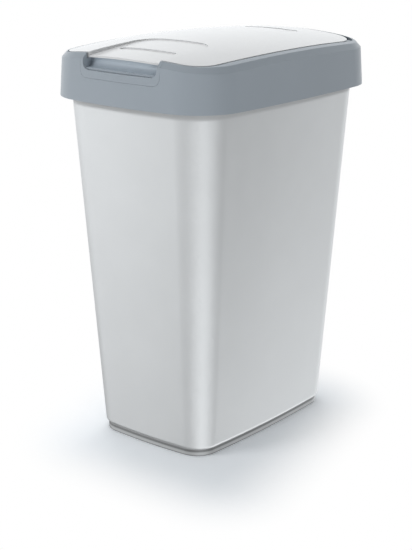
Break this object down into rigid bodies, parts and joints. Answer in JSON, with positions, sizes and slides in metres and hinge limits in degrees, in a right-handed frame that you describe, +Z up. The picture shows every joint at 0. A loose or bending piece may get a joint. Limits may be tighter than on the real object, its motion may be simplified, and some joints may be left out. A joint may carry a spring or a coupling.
{
  "type": "waste bin",
  "caption": "Free-standing waste bin: tapered rectangular bucket, lift-off lid collar with a finger scoop, and a crowned flap with a sunk tongue that swings up at the front.",
  "frame": {"origin": "middle of the foot ring, on the floor", "axes": "+X across the width, -Y towards the front with the finger scoop, +Z up"},
  "size_m": [0.2536, 0.3406, 0.4727],
  "materials": {
    "bucket": "fine satin, light grey",
    "collar": "satin, blue-grey",
    "flap": "satin, pale grey to white",
    "pins": "smooth, unseen"
  },
  "bodies": {
    "bucket_body": {"bucket": "bucket"},
    "collar_body": {"collar": "collar", "grip_insert": "collar", "hinge_pin_left": "pins", "hinge_pin_right": "pins"},
    "flap_body": {"flap": "flap"}
  },
  "joints": [
    {"name": "collar_lift", "type": "slide", "parent": "bucket_body", "child": "collar_body", "axis": [0, 0, 1], "range_m": [0, 0.1]},
    {"name": "flap_hinge", "type": "hinge", "parent": "collar_body", "child": "flap_body", "pos_m": [0, 0.145, 0.4585], "axis": [-1, 0, 0], "range_deg": [0, 102]}
  ]
}
